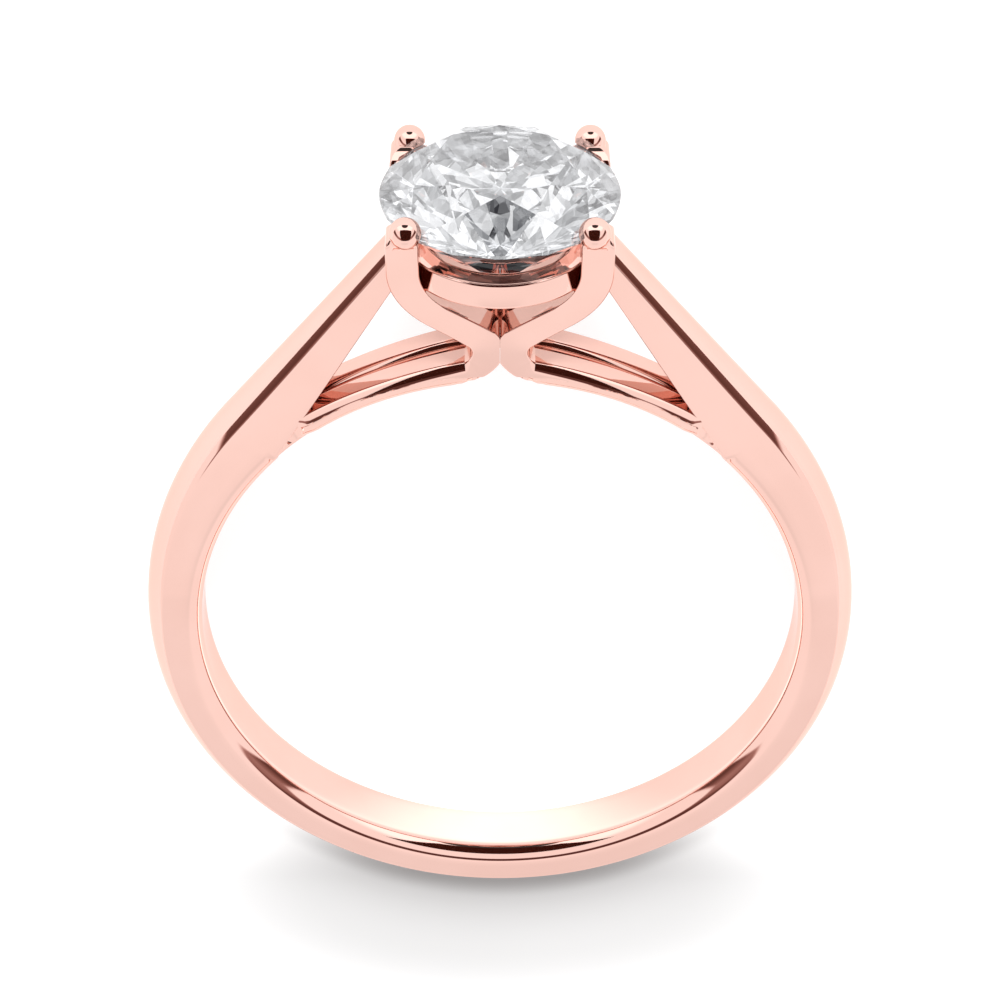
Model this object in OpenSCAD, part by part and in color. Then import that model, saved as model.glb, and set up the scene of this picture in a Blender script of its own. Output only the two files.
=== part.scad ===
// Solitaire engagement ring: a round brilliant in four claws, on a cathedral band.
// The ring is drawn upright, finger hole along Y and stone on top, and then laid
// on its side, the way it rests by itself: on the stone's edge and the foot of the band.

/* [Finger hole and band] */
// Radius of the finger hole, US size 7
bore_r = 8.65; // [8.4:0.05:8.9]
// Width of the band along the finger
band_w = 2.1; // [1.9:0.05:2.3]
// Thickness of the band, from the hole to the top of its dome
band_t = 1.6; // [1.4:0.02:1.7]
// Radius of the band's domed outside, across its width
dome_r = 1.36; // [1.2:0.01:1.6]
// Rounding of the finger hole's two edges
edge_r = 0.48; // [0.3:0.02:0.5]

/* [Cathedral arms] */
// Steepness of the arms in degrees above level
arm_deg = 50.5; // [49:0.5:52]
// How far the arms' ridge line stands outside the finger hole
arm_rise = 1.92; // [1.85:0.01:2]
// Radius of an arm's domed top at the basket
arm_dome_r = 0.84; // [0.8:0.01:1]
// Height of an arm's end at the basket
arm_end_h = 0.76; // [0.7:0.02:0.9]

/* [Claw wires] */
// Width of a wire seen from the front
wire_w = 0.86; // [0.78:0.02:0.9]
// Depth of a wire along the finger
wire_d = 0.94; // [0.88:0.02:0.96]
// Outer radius of the hook that turns a bridge rail up into a claw wire
hook_r = 1.25; // [1.2:0.01:1.3]
// Radius of the round gap inside the hook
eye_r = 0.3; // [0.26:0.01:0.32]
// Radius of the bend that brings a claw wire upright, on its middle line
bend_r = 1.84; // [1.7:0.02:1.9]
// Radius of a claw's round bead
bead_r = 0.38; // [0.34:0.01:0.4]

/* [Basket] */
// Outer radius of the collar under the stone
collar_r = 2.65; // [2.6:0.01:2.7]
// Wall of the collar
collar_t = 0.62; // [0.5:0.02:0.7]
// Height of the collar
collar_h = 0.8; // [0.7:0.05:0.9]

/* [Stone] */
// Diameter of the stone, about one carat
stone_d = 6.35; // [6.2:0.05:6.5]
// Width of the table as a share of the diameter
table_share = 0.57; // [0.53:0.01:0.62]
// Angle of the crown's main facets in degrees
crown_deg = 35; // [32:0.5:36]
// Angle of the pavilion's main facets in degrees
pavilion_deg = 40.75; // [40:0.25:41.5]
// Thickness of the girdle
girdle_t = 0.1; // [0.06:0.01:0.16]
// Gap between the stone and its seat
seat_gap = 0.05; // [0.04:0.01:0.08]

/* [Hidden] */
$fn = 96;
rose_gold = [0.93, 0.70, 0.62];
clear_white = [0.90, 0.92, 0.95, 0.6];
// A little extra, so that solids which are joined overlap and cutters pass through
over = 0.3;

// Front view of a claw wire: the hook's outside touches the finger hole, so its height follows
hook_lap = 0.12;
hook_x = hook_lap - hook_r;
hook_z = sqrt(pow(bore_r + hook_r, 2) - pow(hook_x, 2));
hook_start_deg = -90 - asin(-hook_x / (bore_r + hook_r));
bend_z = hook_z + 3.42;
claw_x = -2.53;
bend_x = claw_x + bend_r;
claw_top_z = bend_z + 1;

// Side view of a claw wire: upright, an outward curve, a straight and a long curve to upright
rail_y = wire_d / 2 + 0.02;
claw_y = 2.29;
flare_r = 0.9;
side_lean_deg = 31;
side_bend_r = 3.6;

// Heights on the basket, from the bend up
collar_top_z = bend_z - 0.155;
girdle_z = bend_z + 1.015;
bead_z = girdle_z + 0.17;
// The beads lean in over the stone's edge
bead_xy = 2.46;

// The bridge rails' top edge is a flat arc, lower at the arms than at the hooks
rail_arc_r = 15.1;
rail_arc_centre = [2.565, -13.78 + bore_r];
// The web between the two rails stays below their tops and leaves a groove
web_drop = 0.2;

// The arms' ridge is a straight line at this distance from the finger's axis
band_r = bore_r + band_t;
ridge_n = bore_r + arm_rise;
// The shoulder is a wider arc between band and ridge, and its centre follows from touching both
shoulder_r = 11.3;
shoulder_d = shoulder_r - band_r;
// Where band and shoulder touch, in degrees below level
touch_deg = acos((shoulder_r - ridge_n) / shoulder_d) - (90 - arm_deg);
shoulder_x = shoulder_d * cos(touch_deg);
shoulder_z = shoulder_d * sin(touch_deg);
// Where along the ridge the arm starts, and its length and height from there
arm_start = cos(arm_deg) * shoulder_x + sin(arm_deg) * shoulder_z;
arm_len = 8.45 - arm_start;
arm_root_h = 1.81;
// An arm starts this far back inside the shoulder, and this much below its top
arm_lap = 0.15;
arm_sink = 0.02;
// Half widths of shoulder and arm at heights above the finger's axis
arm_half_widths = [
    [-1, 1.11], [3.5, 1], [6, 0.965], [7.8, 0.94], [9, 0.84], [10.5, 0.73], [14, 0.58]
];

// How the ring lies on its side: on the stone's edge and on the foot of the band, which
// is wide enough to keep it from rolling over to a claw
stone_r = stone_d / 2;
side_flat_r = band_r - (dome_r - sqrt(pow(dome_r, 2) - pow(band_w / 2, 2)));
rest_deg = atan((stone_r - band_w / 2) / (girdle_z - girdle_t / 2 + side_flat_r));
rest_z = band_w / 2 * cos(rest_deg) + side_flat_r * sin(rest_deg);
// The stone's table is the ring's far end and the band's dome the near end, once it lies down
table_r = stone_r * table_share;
table_z = girdle_z + girdle_t / 2 + (stone_r - table_r) * tan(crown_deg);
far_y = table_z * cos(rest_deg) + table_r * sin(rest_deg);
near_y = -band_r;
rest_y = -(far_y + near_y) / 2;

// Lays the upright ring on its side, head along +Y and front face up
module lay_down() {
    translate([0, rest_y, rest_z]) rotate([rest_deg - 90, 0, 0]) children();
}

// Extrudes a front-view outline, drawn in X and Z, through the ring along Y
module from_front(width) {
    rotate([90, 0, 0]) linear_extrude(height = width, center = true) children();
}

// Extrudes a side-view outline, drawn in Y and Z, through the ring along X
module from_side(width) {
    rotate([90, 0, 90]) linear_extrude(height = width, center = true) children();
}

// Turns a cross-section, drawn as radius and width, about the finger's axis
module round_finger(from_deg, sweep_deg) {
    rotate([90, 0, 0]) rotate([0, 0, from_deg]) rotate_extrude(angle = sweep_deg) children();
}

// Slice of a ring between two angles, all within half a turn
module ring_slice(r_in, r_out, from_deg, to_deg) {
    reach = 2 * r_out;
    mid_deg = (from_deg + to_deg) / 2;
    intersection() {
        difference() {
            circle(r = r_out);
            if (r_in > 0) circle(r = r_in);
        }
        polygon([
            [0, 0],
            reach * [cos(from_deg), sin(from_deg)],
            reach * [cos(mid_deg), sin(mid_deg)],
            reach * [cos(to_deg), sin(to_deg)]
        ]);
    }
}

// A straight strip of a given width from one point to another
module strip(start, end, width) {
    run = end - start;
    translate(start) rotate(atan2(run[1], run[0])) translate([0, -width / 2]) square([norm(run), width]);
}

// The band's cross-section: flat sides and a domed outside, still square at the finger hole
module band_section() {
    intersection() {
        translate([bore_r - over, -band_w / 2]) square([band_t + 2 * over, band_w]);
        union() {
            translate([band_r - dome_r, 0]) circle(r = dome_r);
            translate([bore_r - over, -band_w]) square([band_r - dome_r - bore_r + over, 2 * band_w]);
        }
    }
}

// The lower band, from shoulder to shoulder round the foot of the ring
module band() {
    round_finger(180 + touch_deg, 180 - 2 * touch_deg) band_section();
}

// The left shoulder: the same section on a wider arc, so that the outline runs into the ridge
module shoulder() {
    turn_deg = 90 - arm_deg;
    translate([shoulder_x, 0, shoulder_z])
        round_finger(180 - turn_deg, turn_deg + touch_deg) translate([shoulder_d, 0]) band_section();
    // Below the arc the flat sides are carried down to the finger hole
    from_front(band_w) ring_slice(bore_r - over, band_r - dome_r, 180, 180 - turn_deg - 10);
}

// One cathedral arm, drawn with its length along X and its ridge on top
module arm_along_x() {
    taper_deg = atan((dome_r - arm_dome_r) / arm_len);
    intersection() {
        // A straight ridge over a rising lower edge
        from_front(2 * band_w) polygon([
            [-arm_lap, -arm_root_h], [arm_len, -arm_end_h], [arm_len, over], [-arm_lap, over]
        ]);
        // A cone that lies along the ridge, and flat sides below it
        union() {
            translate([0, 0, -dome_r]) rotate([0, 90 - taper_deg, 0])
                translate([0, 0, -over]) cylinder(h = arm_len + 2 * over,
                    r1 = dome_r + over * tan(taper_deg), r2 = arm_dome_r - over * tan(taper_deg));
            translate([-over, -band_w, -4]) cube([arm_len + 2 * over, 2 * band_w, 4 - dome_r]);
        }
    }
}

// The left arm in its place, from the shoulder's end up to the basket
module arm() {
    rotate([0, -arm_deg, 0]) translate([arm_start, 0, ridge_n - arm_sink]) arm_along_x();
}

// Shoulder and arm, narrowed towards the basket
module cathedral() {
    intersection() {
        union() {
            shoulder();
            arm();
        }
        from_side(4 * band_r) polygon(concat(
            [for (row = arm_half_widths) [row[1], row[0]]],
            [for (k = [len(arm_half_widths) - 1:-1:0]) [-arm_half_widths[k][1], arm_half_widths[k][0]]]
        ));
    }
}

// A slice of the hook between two angles, with the round gap inside it left open
module hook_slice(eye, from_deg, to_deg) {
    difference() {
        translate([hook_x, hook_z]) ring_slice(0, hook_r, from_deg, to_deg);
        translate(eye) circle(r = eye_r);
    }
}

// Front view of the left claw wire, one stretch at a time: the hook's lower and upper half,
// the straight, the bend and the round-topped end. The stretches overlap a little.
module wire_front(stretch) {
    hook = [hook_x, hook_z];
    bend = [bend_x, bend_z];
    hook_mid_r = hook_r - wire_w / 2;
    gap = bend - hook;
    // The straight is the line that touches both middle circles, crossing between them
    cross_deg = asin((hook_mid_r + bend_r) / norm(gap));
    heading = atan2(gap[1], gap[0]) + cross_deg;
    turn_deg = heading - 90;
    turn = [cos(turn_deg), sin(turn_deg)];
    lap = 0.02 * [cos(heading), sin(heading)];
    end_z = claw_top_z - wire_w / 2;
    // The round gap touches the straight and leaves the hook the wire's width beside it
    eye = hook + (hook_r - wire_w - eye_r) * [1, tan(turn_deg / 2)];
    if (stretch == 0) hook_slice(eye, hook_start_deg, 5);
    if (stretch == 1) hook_slice(eye, 0, turn_deg);
    if (stretch == 2) strip(hook + hook_mid_r * turn - lap, bend - bend_r * turn + lap, wire_w);
    if (stretch == 3) translate(bend)
        ring_slice(bend_r - wire_w / 2, bend_r + wire_w / 2, 180, 180 + turn_deg);
    if (stretch == 4) {
        translate([claw_x - wire_w / 2, bend_z - 0.02]) square([wire_w, end_z - bend_z + 0.02]);
        translate([claw_x, end_z]) circle(r = wire_w / 2);
    }
}

// Front view of the left bridge rail: finger hole below, a flat arc above
module rail_front() {
    intersection() {
        translate(rail_arc_centre) circle(r = rail_arc_r);
        translate([-band_r, bore_r / 2]) square([band_r + hook_x, bore_r]);
        ring_slice(bore_r - over, band_r, 90, 150);
    }
}

// Side view of the front claw wire, in the same way: upright, an outward curve, the straight
// and the long curve that ends upright at the bead
module wire_side(stretch) {
    lean = side_lean_deg;
    top_bend = [-claw_y + side_bend_r, claw_top_z + 0.02];
    bend_start = top_bend - side_bend_r * [cos(lean), sin(lean)];
    flare_end_y = -rail_y - flare_r * (1 - cos(lean));
    flare_end_z = bend_start[1] - (bend_start[0] - flare_end_y) / -tan(lean);
    flare_z = flare_end_z - flare_r * sin(lean);
    lap = 0.02 * [-sin(lean), cos(lean)];
    if (stretch == 0) translate([-rail_y - wire_d / 2, bore_r]) square([wire_d, flare_z - bore_r + 0.02]);
    if (stretch == 1) translate([-rail_y - flare_r, flare_z])
        ring_slice(flare_r - wire_d / 2, flare_r + wire_d / 2, 0, lean);
    if (stretch == 2) strip([flare_end_y, flare_end_z] - lap, bend_start + lap, wire_d);
    if (stretch == 3) translate(top_bend)
        ring_slice(side_bend_r - wire_d / 2, side_bend_r + wire_d / 2, 180, 180 + lean);
}

// The front left claw wire: the solid that has both outlines
module claw_wire() {
    // Stretches of the two views that reach the same heights
    meetings = [[0, 0], [1, 0], [1, 1], [2, 1], [2, 2], [2, 3], [3, 2], [3, 3], [4, 3]];
    for (pair = meetings)
        intersection() {
            from_front(3 * claw_y) wire_front(pair[0]);
            from_side(4 * claw_y) wire_side(pair[1]);
        }
    translate([-bead_xy, -bead_xy, bead_z]) sphere(r = bead_r);
}

// The left bridge: two rails with a groove between them, hooked over at the middle
module bridge() {
    for (side = [-1, 1])
        translate([0, side * rail_y, 0]) from_front(wire_d) rail_front();
    from_front(2 * rail_y) difference() {
        rail_front();
        difference() {
            circle(r = 2 * band_r);
            translate(rail_arc_centre) circle(r = rail_arc_r - web_drop);
        }
    }
    // The core between the front and back hooks
    from_front(2 * rail_y) translate([hook_x, hook_z])
        ring_slice(hook_r - wire_w + web_drop, hook_r - web_drop / 2, hook_start_deg, 50);
}

// The collar that ties the four wires together under the stone
module collar() {
    translate([0, 0, collar_top_z - collar_h]) difference() {
        cylinder(h = collar_h, r = collar_r);
        translate([0, 0, -over]) cylinder(h = collar_h + 2 * over, r = collar_r - collar_t);
    }
}

// The finger hole: a true cylinder in the middle, with rounded mouths
module finger_hole() {
    reach = 3 * band_w;
    mouth = band_w / 2 - edge_r;
    rotate([90, 0, 0]) {
        cylinder(h = 2 * mouth + 0.02, r = bore_r, center = true);
        for (side = [0, 1]) mirror([0, 0, side]) rotate_extrude() difference() {
            translate([0, mouth]) square([bore_r + edge_r, reach]);
            translate([bore_r + edge_r, mouth]) circle(r = edge_r);
        }
    }
}

// Everything that the stone and its gap need, cut out of the claws and the collar
module seat_cutter() {
    reach = stone_r + seat_gap;
    half_girdle = girdle_t / 2 + seat_gap;
    translate([0, 0, girdle_z]) rotate_extrude() polygon([
        [0, -half_girdle - reach * tan(pavilion_deg)],
        [reach, -half_girdle],
        [reach, half_girdle],
        [table_r, half_girdle + (reach - table_r) * tan(crown_deg)],
        [0, half_girdle + (reach - table_r) * tan(crown_deg)]
    ]);
}

// Half of the metal, left of the mirror plane, with its part of the finger hole
module left_half() {
    difference() {
        union() {
            cathedral();
            bridge();
            claw_wire();
            mirror([0, 1, 0]) claw_wire();
        }
        finger_hole();
    }
}

// The cast mount: band, arms, bridge, claw wires and collar in one piece of metal
module ring_mount() {
    color(rose_gold) lay_down() difference() {
        union() {
            difference() {
                band();
                finger_hole();
            }
            left_half();
            mirror([1, 0, 0]) left_half();
            collar();
        }
        seat_cutter();
    }
}

// Points of a ring of the cut: count points on a circle, starting at an angle
function cut_ring(count, r, z, start) =
    [for (k = [0:count - 1]) [r * cos(start + 360 * k / count), r * sin(start + 360 * k / count), z]];

// The brilliant: table, 8 stars, 8 kites and 16 halves above, 16 halves and 8 mains below
module brilliant() {
    star_share = 0.5;
    lower_share = 0.78;
    step = 45;
    half = step / 2;
    star_r = table_r * cos(half) + star_share * (stone_r - table_r * cos(half));
    lower_r = stone_r * (1 - lower_share);
    top = girdle_t / 2;
    star_z = top + (stone_r - star_r * cos(half)) * tan(crown_deg);
    lower_z = -top - (stone_r - lower_r * cos(half)) * tan(pavilion_deg);
    table = cut_ring(8, table_r, table_z - girdle_z, 0);
    stars = cut_ring(8, star_r, star_z, half);
    upper = cut_ring(16, stone_r, top, 0);
    under = cut_ring(16, stone_r, -top, 0);
    lowers = cut_ring(8, lower_r, lower_z, half);
    culet = [[0, 0, -top - stone_r * tan(pavilion_deg)]];
    // Where each ring of points starts in the list
    s = 8;
    u = 16;
    d = 32;
    l = 48;
    c = 56;
    polyhedron(points = concat(table, stars, upper, under, lowers, culet), faces = concat(
        [[7, 6, 5, 4, 3, 2, 1, 0]],
        [for (k = [0:7]) [k, (k + 1) % 8, s + k]],
        [for (k = [0:7]) [k, s + k, u + 2 * k, s + (k + 7) % 8]],
        [for (k = [0:7]) [s + k, u + 2 * k + 1, u + 2 * k]],
        [for (k = [0:7]) [s + k, u + (2 * k + 2) % 16, u + 2 * k + 1]],
        [for (k = [0:15]) [u + k, u + (k + 1) % 16, d + (k + 1) % 16, d + k]],
        [for (k = [0:7]) [l + k, d + 2 * k, d + 2 * k + 1]],
        [for (k = [0:7]) [l + k, d + 2 * k + 1, d + (2 * k + 2) % 16]],
        [for (k = [0:7]) [c, l + (k + 7) % 8, d + 2 * k, l + k]]
    ));
}

// The stone, in its seat
module round_stone() {
    color(clear_white) lay_down() translate([0, 0, girdle_z]) brilliant();
}

ring_mount();
round_stone();
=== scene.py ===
"""Looks for a solitaire engagement ring: rose gold mount, round brilliant, studio and camera.

The ring is worked out upright in millimetres, with the finger hole along Y and the stone on
top, and then laid on its side in the row's frame, in metres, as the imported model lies.
"""

from __future__ import annotations

import logging
import math
from dataclasses import dataclass, field
from enum import Enum
from typing import Iterable, Sequence, Union

import bmesh
import bpy
from mathutils import Matrix, Vector


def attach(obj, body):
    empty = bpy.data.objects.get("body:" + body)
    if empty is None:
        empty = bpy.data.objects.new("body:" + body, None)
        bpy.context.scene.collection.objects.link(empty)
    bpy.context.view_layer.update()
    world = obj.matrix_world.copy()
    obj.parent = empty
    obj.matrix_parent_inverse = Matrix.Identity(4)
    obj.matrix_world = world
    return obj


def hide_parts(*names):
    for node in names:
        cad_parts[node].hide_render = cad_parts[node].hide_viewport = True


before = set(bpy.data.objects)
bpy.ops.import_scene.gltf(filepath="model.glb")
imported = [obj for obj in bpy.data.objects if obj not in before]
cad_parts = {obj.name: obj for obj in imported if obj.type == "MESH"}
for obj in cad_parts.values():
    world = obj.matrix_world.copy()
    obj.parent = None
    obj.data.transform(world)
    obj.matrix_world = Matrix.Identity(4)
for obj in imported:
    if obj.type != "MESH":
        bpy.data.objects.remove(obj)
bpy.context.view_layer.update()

log = logging.getLogger("ring")

MM = 0.001
Number = Union[float, int]
Colour = tuple[float, float, float, float]
Point = tuple[float, float]


@dataclass(frozen=True)
class RingSizes:
    """Sizes that several pieces share, in millimetres, with the ring upright."""

    bore_r: float = 8.65
    band_w: float = 2.1
    band_t: float = 1.6
    dome_r: float = 1.36
    edge_r: float = 0.48
    arm_deg: float = 50.5
    arm_rise: float = 1.92
    wire_w: float = 0.86
    wire_d: float = 0.94
    hook_r: float = 1.25
    hook_lap: float = 0.12
    bend_rise: float = 3.42
    girdle_rise: float = 1.015
    stone_d: float = 6.35
    table_share: float = 0.57
    crown_deg: float = 35.0
    pavilion_deg: float = 40.75
    girdle_t: float = 0.1

    @property
    def band_r(self) -> float:
        """Radius of the top of the band's dome."""
        return self.bore_r + self.band_t

    @property
    def ridge_n(self) -> float:
        """Distance of the arms' ridge line from the finger's axis."""
        return self.bore_r + self.arm_rise

    @property
    def hook_z(self) -> float:
        """Height of the centre of a hook that rests on the finger hole."""
        x = self.hook_lap - self.hook_r
        return math.sqrt((self.bore_r + self.hook_r) ** 2 - x * x)

    @property
    def bend_z(self) -> float:
        """Height of the centre of a claw wire's upper bend."""
        return self.hook_z + self.bend_rise

    @property
    def girdle_z(self) -> float:
        """Height of the stone's girdle."""
        return self.bend_z + self.girdle_rise

    @property
    def stone_r(self) -> float:
        """Radius of the stone."""
        return self.stone_d / 2

    @property
    def table_r(self) -> float:
        """Distance of the table's corners from the stone's middle."""
        return self.stone_r * self.table_share

    @property
    def table_z(self) -> float:
        """Height of the stone's table."""
        rise = (self.stone_r - self.table_r) * math.tan(math.radians(self.crown_deg))
        return self.girdle_z + self.girdle_t / 2 + rise

    def hole_r(self, y: float, side: float) -> float:
        """Radius of the finger hole at a place along the finger, with its rounded mouths.

        Args:
            y: The place along the finger.
            side: How far along the finger the metal's flat side is.

        Returns:
            The radius there.
        """
        past = max(0.0, min(abs(y) - (side - self.edge_r), self.edge_r))
        return self.bore_r + self.edge_r - math.sqrt(self.edge_r**2 - past**2)

    @property
    def lay(self) -> Matrix:
        """Turns a place on the upright ring, in millimetres, into the row's frame, in metres.

        Returns:
            The matrix. The ring rests on the edge of the stone and on the foot of the band.
        """
        half_w = self.band_w / 2
        flat_r = self.band_r - self.dome_r + math.sqrt(self.dome_r**2 - half_w**2)
        reach = self.girdle_z - self.girdle_t / 2 + flat_r
        rest = math.atan((self.stone_r - half_w) / reach)
        far = self.table_z * math.cos(rest) + self.table_r * math.sin(rest)
        lift = half_w * math.cos(rest) + flat_r * math.sin(rest)
        place = Vector((0, (self.band_r - far) / 2, lift))
        turn = Matrix.Rotation(rest - math.pi / 2, 4, "X")
        return Matrix.Scale(MM, 4) @ Matrix.Translation(place) @ turn

    @property
    def turn(self) -> Matrix:
        """Turns a direction on the upright ring into the row's frame."""
        return self.lay.to_3x3().normalized()


SIZES = RingSizes()
# Where noise passes from one colour to the other
SOFT_SHARE: Point = (0.3, 0.7)


class Value:
    """A number socket of a node tree, on which Python's operators add Math nodes."""

    def __init__(self, bench: "Bench", socket: bpy.types.NodeSocket) -> None:
        """Wraps a socket.

        Args:
            bench: The bench of the tree that the socket is in.
            socket: An output socket that gives a number.
        """
        self.bench = bench
        self.socket = socket

    def _maths(
        self, operation: str, *others: "Value | Number", first: Number | None = None
    ) -> "Value":
        """Adds a Math node.

        Args:
            operation: The Math node's operation.
            others: What comes after this value in the operation.
            first: What comes before this value, for the reflected operators.

        Returns:
            The node's result.
        """
        terms = ([] if first is None else [first]) + [self, *others]
        made = self.bench.node("ShaderNodeMath", {"operation": operation}, dict(enumerate(terms)))
        return Value(self.bench, made.outputs[0])

    def __add__(self, other: "Value | Number") -> "Value":
        """Sum."""
        return self._maths("ADD", other)

    __radd__ = __add__

    def __sub__(self, other: "Value | Number") -> "Value":
        """Difference."""
        return self._maths("SUBTRACT", other)

    def __rsub__(self, other: Number) -> "Value":
        """Difference, with the number first."""
        return self._maths("SUBTRACT", first=other)

    def __mul__(self, other: "Value | Number") -> "Value":
        """Product."""
        return self._maths("MULTIPLY", other)

    __rmul__ = __mul__

    def __truediv__(self, other: "Value | Number") -> "Value":
        """Quotient."""
        return self._maths("DIVIDE", other)

    def __rtruediv__(self, other: Number) -> "Value":
        """Quotient, with the number first."""
        return self._maths("DIVIDE", first=other)

    def __neg__(self) -> "Value":
        """Opposite."""
        return self * -1

    def __abs__(self) -> "Value":
        """Size without its sign."""
        return self._maths("ABSOLUTE")

    def turn_deg(self, other: "Value | Number") -> "Value":
        """Angle of (other, this) in degrees, from -180 to 180."""
        return self._maths("ARCTAN2", other) * math.degrees(1)

    def arcsine_deg(self) -> "Value":
        """Arcsine in degrees."""
        return self._maths("ARCSINE") * math.degrees(1)

    def arccosine_deg(self) -> "Value":
        """Arccosine in degrees."""
        return self._maths("ARCCOSINE") * math.degrees(1)

    def rise(self, low: "Value | Number", high: "Value | Number") -> "Value":
        """Goes smoothly from 0 at low to 1 at high.

        Args:
            low: Where the rise starts.
            high: Where it ends.

        Returns:
            The share, from 0 to 1.
        """
        made = self.bench.node(
            "ShaderNodeMapRange",
            {"interpolation_type": "SMOOTHSTEP"},
            {"Value": self, "From Min": low, "From Max": high},
        )
        return Value(self.bench, made.outputs["Result"])

    def along(self, stops: Sequence[Point], reach: float) -> "Value":
        """Reads a value off a table of stops, with an even run between them.

        Args:
            stops: Pairs of place and level. Places go from 0 to reach, levels from 0 to 1.
            reach: The place of the last stop.

        Returns:
            The level at this value's place.
        """
        made = self.bench.node(
            "ShaderNodeValToRGB",
            {"stops": [(place / reach, (level, level, level, 1)) for place, level in stops]},
            {"Fac": self / reach},
        )
        return self.bench.red(made.outputs["Color"])


class Bench:
    """Adds nodes to one node tree."""

    def __init__(self, tree: bpy.types.NodeTree) -> None:
        """Empties the tree.

        Args:
            tree: The node tree of a material or of the world.
        """
        self.tree = tree
        tree.nodes.clear()

    def node(
        self, kind: str, settings: dict[str, object], sockets: dict[str | int, object]
    ) -> bpy.types.Node:
        """Adds any node.

        Args:
            kind: The node's type name.
            settings: Its properties, set first. "stops" are a ramp's (place, colour) pairs.
            sockets: Values, sockets or Values of its inputs, by name or number.

        Returns:
            The new node.
        """
        made = self.tree.nodes.new(kind)
        for name, value in settings.items():
            if name != "stops":
                setattr(made, name, value)
                continue
            ramp = made.color_ramp.elements
            while len(ramp) > 1:
                ramp.remove(ramp[-1])
            for k, (place, colour) in enumerate(value):
                stop = ramp[0] if k == 0 else ramp.new(place)
                stop.position = place
                stop.color = colour
        for name, value in sockets.items():
            if isinstance(value, Value):
                value = value.socket
            if isinstance(value, bpy.types.NodeSocket):
                self.tree.links.new(value, made.inputs[name])
            else:
                made.inputs[name].default_value = value
        return made

    def blend(
        self, share: Value, low: Colour | bpy.types.NodeSocket, high: Colour
    ) -> bpy.types.NodeSocket:
        """Mixes two colours.

        Args:
            share: How much of the second colour there is, from 0 to 1.
            low: The colour at 0.
            high: The colour at 1.

        Returns:
            The mixed colour's socket.
        """
        made = self.node("ShaderNodeMix", {"data_type": "RGBA"}, {0: share, 6: low, 7: high})
        return made.outputs[2]

    def noise(self, place: bpy.types.NodeSocket, scale: float, detail: float = 2.0) -> Value:
        """Cloudy variation.

        Args:
            place: The socket that gives the place.
            scale: How fine it is, in spots per metre.
            detail: How many finer layers it has.

        Returns:
            A value around 0.5.
        """
        sockets = {"Vector": place, "Scale": scale, "Detail": detail}
        return Value(self, self.node("ShaderNodeTexNoise", {}, sockets).outputs[0])

    def red(self, colour: bpy.types.NodeSocket) -> Value:
        """The red part of a colour."""
        made = self.node("ShaderNodeSeparateColor", {}, {"Color": colour})
        return Value(self, made.outputs["Red"])

    def shards(self, place: bpy.types.NodeSocket, scale: float) -> Value:
        """Patches that have a level each, at a number of patches per metre."""
        made = self.node("ShaderNodeTexVoronoi", {}, {"Vector": place, "Scale": scale})
        return self.red(made.outputs["Color"])

    def measure(
        self, operation: str, place: bpy.types.NodeSocket, other: Iterable[float]
    ) -> Value:
        """Reads a number off a place.

        Args:
            operation: DISTANCE from another place, or DOT_PRODUCT for the way along an axis.
            place: The socket that gives the place.
            other: The other place, or the axis.

        Returns:
            The number.
        """
        sockets = {0: place, 1: tuple(other)}
        made = self.node("ShaderNodeVectorMath", {"operation": operation}, sockets)
        return Value(self, made.outputs["Value"])


class MaterialBench(Bench):
    """Builds one new material."""

    def __init__(self, name: str) -> None:
        """Starts the material.

        Args:
            name: Its name.
        """
        self.material = bpy.data.materials.new(name)
        self.material.use_nodes = True
        super().__init__(self.material.node_tree)
        self.place = self.node("ShaderNodeTexCoord", {}, {}).outputs["Object"]

    def surface(self, skin: dict[str, object]) -> bpy.types.Material:
        """Adds the surface shader and ends the material.

        Args:
            skin: The shader's inputs, by name.

        Returns:
            The material.
        """
        made = self.node("ShaderNodeBsdfPrincipled", {}, skin)
        self.node("ShaderNodeOutputMaterial", {}, {"Surface": made.outputs["BSDF"]})
        return self.material


@dataclass(frozen=True)
class RoseGold:
    """Polished rose gold: a mirror with slight clouds in its colour and a fine hand polish."""

    name: str = "polished_rose_gold"
    pale: Colour = (0.82, 0.535, 0.468, 1)
    deep: Colour = (0.795, 0.51, 0.442, 1)
    rim: Colour = (0.97, 0.84, 0.79, 1)
    roughness: float = 0.035
    polish: float = 0.03
    ripple: float = 0.012
    ripple_depth: float = 0.0001
    cloud_scale: float = 260.0
    cloud_share: Point = (0.35, 0.65)
    mark_scale: float = 5200.0
    ripple_scale: float = 900.0

    def material(self) -> bpy.types.Material:
        """Builds the material.

        Returns:
            The finish, ready to be put on a piece.
        """
        bench = MaterialBench(self.name)
        clouds = bench.noise(bench.place, self.cloud_scale, 3.0).rise(*self.cloud_share)
        marks = bench.noise(bench.place, self.mark_scale)
        ripples = bench.noise(bench.place, self.ripple_scale, 1.0)
        sockets = {"Strength": self.ripple, "Distance": self.ripple_depth, "Height": ripples}
        relief = bench.node("ShaderNodeBump", {}, sockets)
        return bench.surface(
            {
                "Base Color": bench.blend(clouds, self.pale, self.deep),
                "Metallic": 1.0,
                "Roughness": self.roughness + self.polish * marks,
                "Specular Tint": self.rim,
                "Normal": relief.outputs["Normal"],
            }
        )


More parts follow.
